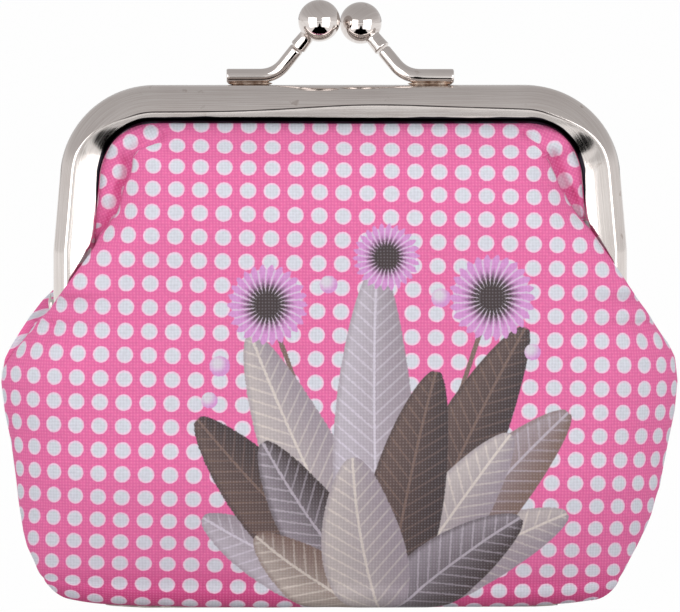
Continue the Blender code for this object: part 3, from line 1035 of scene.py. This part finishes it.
def cloth_mesh(name, side, lug_inset, pleats, inset, edge_inset, rows_used, reach, crumple):
    """One layer of cloth, sunk below the panel's face by inset, or edge_inset in the channel.
    rows_used are rows of the panel's grid, and reach the columns used from the middle out."""
    grid = cloth_grid(side, lug_inset, pleats, not inset)
    across_cloth, up_cloth = cloth_print(grid)
    middle = len(grid[0]) // 2
    columns_used = sorted({middle - k for k in reach} | {middle + k for k in reach})
    wide = len(columns_used)

    def place(column, row):
        k = columns_used[column]
        r = rows_used[row]
        point = grid[r][k]
        u, v = across_cloth[r][k], up_cloth[r]
        offset = abs(k - middle)
        if inset or offset < pleat_column - 8 or point.z < 0.0500:
            return point, (u, v)
        x = -side * point.x
        lip = gripped_lip(point.z, gripped_edge(point.z, lug_inset))
        line = outline_x(pleats[0 if x < 0 else 1], point.z)
        above = smooth(point.z, *print_easing)
        eased = smooth(abs(x) - line, -0.0007, 0.0007)
        turned = eased * above + (1 - above) * (offset > pleat_column)
        turned *= smooth(point.z, *print_turn_rise) * (1 if line < lip else 0)
        su, sv = strip_print(x, point.z)
        return point, (u + (su - u) * turned, v + (sv - v) * turned)

    mesh = sheet_mesh(name, wide - 1, len(rows_used) - 1, place)
    shape = bmesh.new()
    shape.from_mesh(mesh)
    shape.normal_update()
    painted_shades, presses, places = [], [], []
    for vertex in shape.verts:
        row, column = divmod(vertex.index, wide)
        x, z = vertex.co.x, vertex.co.z
        offset = abs(columns_used[column] - middle)
        free = 1 - smooth(offset, lip_column - 3, lip_column)
        free *= 1 - smooth(z, rail_lip - 0.0006, rail_lip + 0.0002)
        deeper = inset + (edge_inset - inset) * (1 - free)
        depth, painted_shade = crease_depth_and_painted_shade(-side * x, z)
        spot = Vector((x * 62, z * 62, side * 3.0))
        slack = 0.00025 * noise.noise(spot) + 0.00010 * noise.noise(spot * 2.7)
        top = smooth(z, 0.060, rail_lip) * free
        slack += 0.00008 * top * noise.noise(Vector((x * 420, z * 60, side * 5.0)))
        if pleat_column < offset < lip_column and z > trim_top:
            turn = math.atan2(max(z - corner_height, 0), abs(x) - corner_x + 1e-6)
            run = turn * corner_radius - max(corner_height - z, 0)
            pucker = math.sin(run * 4800 + 3 * noise.noise(Vector((run * 300, 0, side))))
            slack += 0.00006 * pucker
        pressed = smooth(offset, pleat_column - 2, pleat_column)
        presses.append(pressed * (1 - smooth(z, *fold_fade)))
        # painted shade along the fold just outside the pleat's outline
        if offset > pleat_column - 3 and 0.0525 < z < 0.0695:
            out = abs(x) - outline_x(pleats[0 if -side * x < 0 else 1], z)
            shade = smooth(out, -0.0004, 0.0001) * (1 - smooth(out, 0.0004, 0.0022))
            painted_shade += 0.8 * shade * smooth(z, 0.0690, 0.0660)
        # painted shade of creases and folds, kept per point for the cotton finish
        painted_shades.append(min(painted_shade, 1) * free * crumple)
        along_normal = smooth(z, *sinking_rise)
        move = vertex.normal * (crumple * free * (slack - depth) - deeper * along_normal)
        move.y -= side * deeper * (1 - along_normal)
        moved = vertex.co + move
        moved.y = side * max(side * moved.y, seam_gap + inset * 0.15)
        moved.z = max(moved.z, inset + (base_lift(moved.x) if inset else 0))
        if inset and moved.z < fold_height:
            end = middle + pleat_column * (1 if moved.x * -side > 0 else -1)
            limit = abs(grid[rows_used[row]][end].x) - inset * 1.1
            limit -= corner_room * (1 - smooth(moved.z, *room_fade))
            moved.x = min(max(moved.x, -limit), limit)
        places.extend(moved)
    shape.free()
    mesh.vertices.foreach_set("co", places)
    mesh.update()
    add_values(mesh, "crease", painted_shades)
    add_values(mesh, "pressed", presses)
    return mesh


def thicken(piece, thickness):
    """Gives a sheet its thickness, except where it is pressed flat in a fold."""
    group = piece.vertex_groups.new(name="open_cloth")
    for point, pressed in zip(piece.data.vertices, piece.data.attributes["pressed"].data):
        group.add([point.index], 1 - pressed.value, "REPLACE")
    sheet = piece.modifiers.new("cloth", "SOLIDIFY")
    sheet.thickness = thickness
    sheet.offset = -1
    sheet.vertex_group = "open_cloth"
    sheet.thickness_vertex_group = pressed_share


pink, deep_pink = colour(240, 106, 167), colour(233, 110, 168)
dot_white, dot_rim = colour(219, 221, 231), colour(243, 214, 234)
# deeper pink painted in as shade in creases, folds and towards the base
painted_shade_pink = colour(200, 50, 120)
cream, lilac_grey = colour(226, 216, 208), colour(196, 186, 198)
pale_lilac, charcoal = colour(221, 214, 226), colour(66, 54, 56)
warm_brown, lavender = colour(128, 104, 96), colour(217, 150, 212)
soft_grey = colour(160, 148, 158)

# the printed spray: leaves from (u, v), with angle in degrees, length, half width in millimetres
# and two tones, painted from the back to the front
spray_leaves = (
    ((5, -58), 152, 29, 5.6, soft_grey, pale_lilac),
    ((8, -58), 29, 29, 5.6, soft_grey, cream),
    ((5, -57), 134, 38, 6.4, charcoal, warm_brown),
    ((8, -57), 48, 38, 6.2, warm_brown, lilac_grey),
    ((5, -57), 115, 44, 6.4, soft_grey, cream),
    ((8, -57), 65, 45, 6.2, charcoal, warm_brown),
    ((6, -57), 91, 50, 6.6, soft_grey, pale_lilac),
    ((5, -58), 124, 30, 5.6, charcoal, lilac_grey),
    ((8, -58), 57, 31, 5.6, soft_grey, cream),
    ((7, -58), 79, 36, 6.0, charcoal, warm_brown),
    ((4, -60), 143, 21, 5.2, warm_brown, cream),
    ((8, -60), 40, 24, 5.6, charcoal, lilac_grey),
    ((6, -61), 100, 26, 6.6, soft_grey, cream),
)
spray_heads = (((-11, -13), 5.6), ((6.5, -6), 4.6), ((22, -12), 6.0))
spray_berries = (
    (-18, -22, 1.5), (-19.5, -27, 1.2), (-2, -10, 1.3), (14.5, -12, 1.4), (28, -20, 1.2),
)
spray_foot = (6, -60)
thread_pitch = 0.00047


def leaf_paint(u, v, foot, angle, length, half):
    """Mask of a pointed leaf, and how light its veins make it. u and v are in millimetres."""
    ahead, across = seen_from(foot, math.radians(angle), u, v)
    ahead = ahead / length
    across = across + (ahead * ahead - ahead) * (half * 0.5)
    inside = (ahead * (1 - ahead)).most(0)
    outline = inside.root() * (1 - ahead * 0.45) * (half * 2.35)
    mask = (across.size() - outline).step(0.12, -0.12)
    mask = mask * ahead.step(0.0, 0.01) * ahead.step(1.0, 0.99)
    rib = across.size().step(0.28, 0.10)
    side_veins = ((ahead * length - across.size() * 0.9) * 3.0).wave().step(0.72, 0.95)
    shade = (across / (outline + 0.4)).step(-1.0, 1.0)
    rim = (outline - across.size()).step(0.1, 0.9) * 0.5 + 0.5
    return mask, (rib.most(side_veins * 0.55) * 0.6 + shade * 0.55) * rim


def spray_paint(paint, u, v, smudge):
    """The spray's leaves, seed heads and berries painted over the dots."""
    u, v = u * 1000 + smudge, v * 1000 + smudge
    for head, _ in spray_heads:
        reach = math.dist(head, spray_foot)
        turn = math.atan2(head[1] - spray_foot[1], head[0] - spray_foot[0])
        ahead, across = seen_from(spray_foot, turn, u, v)
        stem = across.size().step(0.42, 0.25) * ahead.step(0, 1)
        stem = stem * ahead.step(reach, reach - 0.5)
        paint = paint.blend(warm_brown, stem)
    for foot, angle, length, half, dark_tone, light_tone in spray_leaves:
        mask, light = leaf_paint(u, v, foot, angle, length, half)
        paint = paint.blend(light.between(dark_tone, light_tone), mask)
    for (x, y), radius in spray_heads:
        du, dv = u - x, v - y
        away = du.span(dv)
        turn = du.maths("ARCTAN2", dv, du)
        strokes = (turn * 26 + away * 0.8).wave() * away.step(0.8, 2.4)
        ragged = (away + strokes * 0.35).step(radius + 0.15, radius - 0.15)
        ring = (away / radius + strokes * 0.08).step(0.35, 0.75)
        tone = ring.between(charcoal, lavender)
        tone = tone.blend(pale_lilac, strokes.step(0.55, 0.9) * 0.6)
        paint = paint.blend(tone, ragged)
    for x, y, radius in spray_berries:
        du, dv = u - x, v - y
        gleam = (du + 0.35).span(dv - 0.4)
        tone = gleam.step(0.35, 1.6).between(pale_lilac, lavender)
        paint = paint.blend(tone, du.span(dv).step(radius + 0.1, radius - 0.1))
    return paint


def printed_cotton(name, spray):
    """Woven cotton printed with pale dots, and with a spray of leaves if asked."""
    finish, shader, wire = new_finish(name, Sheen_Weight=0.06, Sheen_Roughness=0.5)
    along = wire.node("UVMap", {"uv_map": "along"})
    u, v, _ = along.split()
    across, up = seen_from((dot_origin[0], 0), -dot_turn, u, v)
    ragged = along.cloud(2600)
    away = (across / dot_pitch).off_whole().span((up / dot_pitch).off_whole())
    away = away * dot_pitch + (ragged - 0.5) * 0.00016
    ground = along.cloud(160, 3).between(pink, deep_pink)
    # painted shade: the ground deepens to a darker pink towards the base, where the cloth turns
    # under
    height = wire.node("TexCoord", out=3).split()[2]
    ground = ground.blend(painted_shade_pink, height.step(0.0085, 0.0005) * 0.75)
    paint = ground.blend(dot_rim, away.step(0.00131, 0.00112))
    paint = paint.blend(dot_white, away.step(0.00108, 0.00083))
    if spray:
        paint = spray_paint(paint, u, v, (ragged - 0.5) * 0.35)
    thread = math.tau / thread_pitch
    wander = along.cloud(700) * 2.4
    weave = (u * thread + wander).wave() * 0.5 + (v * thread + wander).wave() * 0.5
    slubs = along.cloud(1900, 3)
    # painted shade: creases and folds turn a deeper pink
    painted_crease_shading = wire.node("Attribute", {"attribute_name": "crease"}, out=2)
    paint = paint.blend(painted_shade_pink, painted_crease_shading * 0.7)
    paint = paint.blend(dot_white, weave.step(0.1, 0.9) * 0.11)
    shade = weave * 0.07 + (slubs - 0.5) * 0.26 + 0.99
    paint = wire.node("VectorMath", {"operation": "SCALE"}, {0: paint, 3: shade})
    connect(
        shader,
        Base_Color=paint,
        Roughness=0.78 + weave * 0.06,
        Normal=(weave + slubs).bump(0.35, 0.00006),
    )
    return finish


print_finish = {"front": printed_cotton("dotted_cotton_front", True),
                "rear": printed_cotton("dotted_cotton_rear", False)}


def add_layer(name, mesh, finish, thickness, half):
    """Adds a layer of cloth and gives it its thickness."""
    piece = add_piece(name, mesh, finish)
    thicken(piece, thickness)
    half + "_half"
    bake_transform(piece)
    return piece


def note_sheet(piece, wide, half):
    """Works out the longest run across and up a grid of cloth."""
    points = [vertex.co for vertex in piece.data.vertices]
    width = max(lengths_along(points[k : k + wide])[-1] for k in range(0, len(points), wide))
    length = max(lengths_along(points[column::wide])[-1] for column in range(wide))
    half + "_bow"


row_count = len(cloth_rows())
column_count = lip_column + tucked_columns + 1
pleats = {
    "front": ((left_pleat + left_seam)[::-1], (right_pleat + right_seam)[::-1]),
    "rear": ((even_pleat + right_seam)[::-1], (even_pleat + left_seam)[::-1]),
}
for half, side, lug_inset in halves:
    name = half + "_printed_panel"
    mesh = cloth_mesh(
        name, side, lug_inset, pleats[half], 0, 0, range(row_count), range(column_count), 1,
    )
    panel = add_layer(name, mesh, print_finish[half], panel_thickness, half)
    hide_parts(half + "_panel_lower", half + "_panel_upper")
    note_sheet(panel, 2 * column_count - 1, half)

# Padding. A thin layer of soft foam laid behind each panel; it stops short of the frame, so
# that only cloth goes into the channel, and gives the purse its stuffed look.

padding_thickness = 0.0012
padding_inset = panel_thickness + clearance
foam, foam_shader, wire = new_finish("soft_foam", Roughness=0.95)
cells = wire.node("TexVoronoi", None, {"Vector": wire.node("TexCoord", out=3), "Scale": 1400})
connect(
    foam_shader,
    Base_Color=cells.ramp((0.0, (0.62, 0.60, 0.53)), (0.6, (0.80, 0.78, 0.72))),
    Normal=cells.bump(0.5, 0.0002),
)
for half, side, lug_inset in halves:
    name = half + "_foam_sheet"
    mesh = cloth_mesh(
        name, side, lug_inset, pleats[half], padding_inset, padding_inset,
        range(0, row_count - 9, 2), range(0, pleat_column - 5, 2), 0.8,
    )
    pad = add_layer(name, mesh, foam, padding_thickness, half)
    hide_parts(half + "_padding_lower", half + "_padding_upper")

# Lining. A bag of thin plain cotton inside, sewn like the outside and gripped with it in the
# channels.

lining_thickness = 0.0004
lining_inset = padding_inset + padding_thickness + clearance
lining, lining_shader, wire = new_finish("plain_lining", Sheen_Weight=0.08)
u, v, _ = wire.node("UVMap", {"uv_map": "along"}).split()
lining_thread = math.tau / 0.0003
weave = (u * lining_thread).wave() * (v * lining_thread).wave()
tone = wire.node("TexCoord", out=3).cloud(90) + weave * 0.08
connect(
    lining_shader,
    Base_Color=tone.ramp((0.3, (0.80, 0.77, 0.74)), (0.7, (0.88, 0.855, 0.82))),
    Roughness=0.8 + weave * 0.05,
    Normal=weave.bump(0.3, 0.00005),
)
rows_used = [*range(0, row_count - 1, 2), row_count - 1]
columns_used = [*range(0, column_count - 1, 2), column_count - 1]
for half, side, lug_inset in halves:
    name = half + "_lining_sheet"
    mesh = cloth_mesh(
        name, side, lug_inset, pleats[half], lining_inset, padding_inset,
        rows_used, columns_used, 0.8,
    )
    inside = add_layer(name, mesh, lining, lining_thickness, half)
    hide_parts(half + "_lining_lower", half + "_lining_upper")
    note_sheet(inside, 2 * len(columns_used) - 1, half)

# Studio. A pale floor, an even pale surround, large soft lamps and the camera in front of the
# purse, a little to its left.

floor_finish, floor_shader, wire = new_finish(
    "studio_floor", Roughness=0.9, Base_Color=(0.55, 0.55, 0.55, 1),
)
path = wire.node("LightPath").socket.node
rays = [Wire(wire.tree, path.outputs["Is %s Ray" % kind]) for kind in
        ("Camera", "Glossy", "Transmission")]
seen = rays[0].most(rays[1]).most(rays[2])
glow = wire.node("Emission", None, {"Color": (1, 1, 1, 1), "Strength": 1.0})
shown = wire.node("MixShader", None, {
    0: seen * 0.985, 1: Wire(wire.tree, floor_shader.outputs[0]), 2: glow,
})
wire.tree.links.new(shown.socket, wire.tree.nodes["Material Output"].inputs[0])


def add_flat(name, corners, height, finish):
    """A flat stage piece that isn't part of the object."""
    mesh = bpy.data.meshes.new(name)
    mesh.from_pydata([(x, y, height) for x, y in corners], [], [tuple(range(len(corners)))])
    piece = add_piece(name, mesh, finish)
    return piece


edge = 60.0
add_flat("floor", [(-edge, -edge), (edge, -edge), (edge, edge), (-edge, edge)], 0, floor_finish)


def reflected_card(name, corners, glow):
    """A card on the floor that only the metal's reflections show."""
    finish, _, _ = new_finish(
        name, Roughness=1.0, Base_Color=(0, 0, 0, 1), Specular_IOR_Level=0,
        Emission_Color=(1, 1, 1, 1), Emission_Strength=glow,
    )
    card = add_flat(name, corners, 0.001, finish)
    card.visible_camera = card.visible_diffuse = card.visible_shadow = False
    card.visible_transmission = False


half_card = (
    (0.062, -0.02), (0.062, -0.115), (0.030, -0.1315), (0.022, -0.15), (0.022, -0.28),
    (0.001, -0.36),
)
reflected_card("dark_card", [*half_card, *((-x, y) for x, y in reversed(half_card))], 0)
reflected_card("grey_card", [(-0.12, -0.36), (0.12, -0.36), (0.12, -0.70), (-0.12, -0.70)], 0.62)
card_near, card_far = 0.135, 0.52
for name, start, end in (("left_card", -62, -17), ("right_card", 13, 59)):
    turns = [math.radians(start + (end - start) * k / 8) for k in range(9)]
    near = [(card_near * math.sin(t), -card_near * math.cos(t)) for t in turns]
    far = [(card_far * math.sin(t), -card_far * math.cos(t)) for t in reversed(turns)]
    reflected_card(name, near + far, 2.5)

world = bpy.data.worlds.new("studio")
bpy.context.scene.world = world
world.use_nodes = True
wire = Wire(world.node_tree)
x, y, z = wire.node("TexCoord").split()
surround = (z * 0.5 + 0.5).ramp(
    (0.0, (1.0, 1.0, 1.0)),
    (0.508, (1.0, 1.0, 1.0)),
    (0.512, (0.10, 0.09, 0.09)),
    (0.520, (0.10, 0.09, 0.09)),
    (0.524, (0.64, 0.63, 0.63)),
    (0.75, (0.56, 0.55, 0.55)),
    (1.0, (0.50, 0.49, 0.49)),
)
beside = x.size().step(0.45, 0.75) * z.step(0.35, 0.10)
surround = surround.blend((0.80, 0.79, 0.79, 1), beside)
surround = surround.blend((1, 1, 1, 1), wire.node("LightPath"))
backdrop = world.node_tree.nodes["Background"]
world.node_tree.links.new(surround.socket, backdrop.inputs["Color"])
backdrop.inputs["Strength"].default_value = 1.0


def add_lamp(name, place, size, power):
    """A large soft lamp aimed at the middle of the purse."""
    light = bpy.data.lights.new(name, "AREA")
    light.shape = "RECTANGLE"
    light.size, light.size_y = size
    light.energy = power
    lamp = new_object(name, light)
    lamp.location = place
    aimed = Vector((0, 0, 0.06)) - Vector(place)
    lamp.rotation_euler = aimed.to_track_quat("-Z", "Y").to_euler()
    lamp.visible_camera = False
    return lamp


lamp_distance = 0.55
for name, turn in (("left_softbox", math.radians(-40)), ("right_softbox", math.radians(37))):
    place = (lamp_distance * math.sin(turn), -lamp_distance * math.cos(turn), 0.13)
    add_lamp(name, place, (0.48, 0.25), 0.88)
top_lamp = add_lamp("top_softbox", (-0.3, -0.7, 0.9), (0.6, 0.6), 1.1)
top_lamp.visible_glossy = False

camera_data = bpy.data.cameras.new("camera")
camera = new_object("camera", camera_data)
camera_distance = 1.1
view_width = 0.1007
camera_side = math.radians(-2)
camera_rise = math.radians(2.5)
aim = Vector((0.0, 0.0, 0.0447))
back = Vector((
    math.sin(camera_side) * math.cos(camera_rise),
    -math.cos(camera_side) * math.cos(camera_rise),
    math.sin(camera_rise),
))
camera.location = aim + back * camera_distance
camera.rotation_euler = (-back).to_track_quat("-Z", "Y").to_euler()
camera_data.sensor_width = 36
camera_data.lens = camera_data.sensor_width * camera_distance / view_width
camera_data.clip_start, camera_data.clip_end = 0.05, 200
bpy.context.scene.camera = camera
bpy.context.scene.view_settings.view_transform = "Standard"
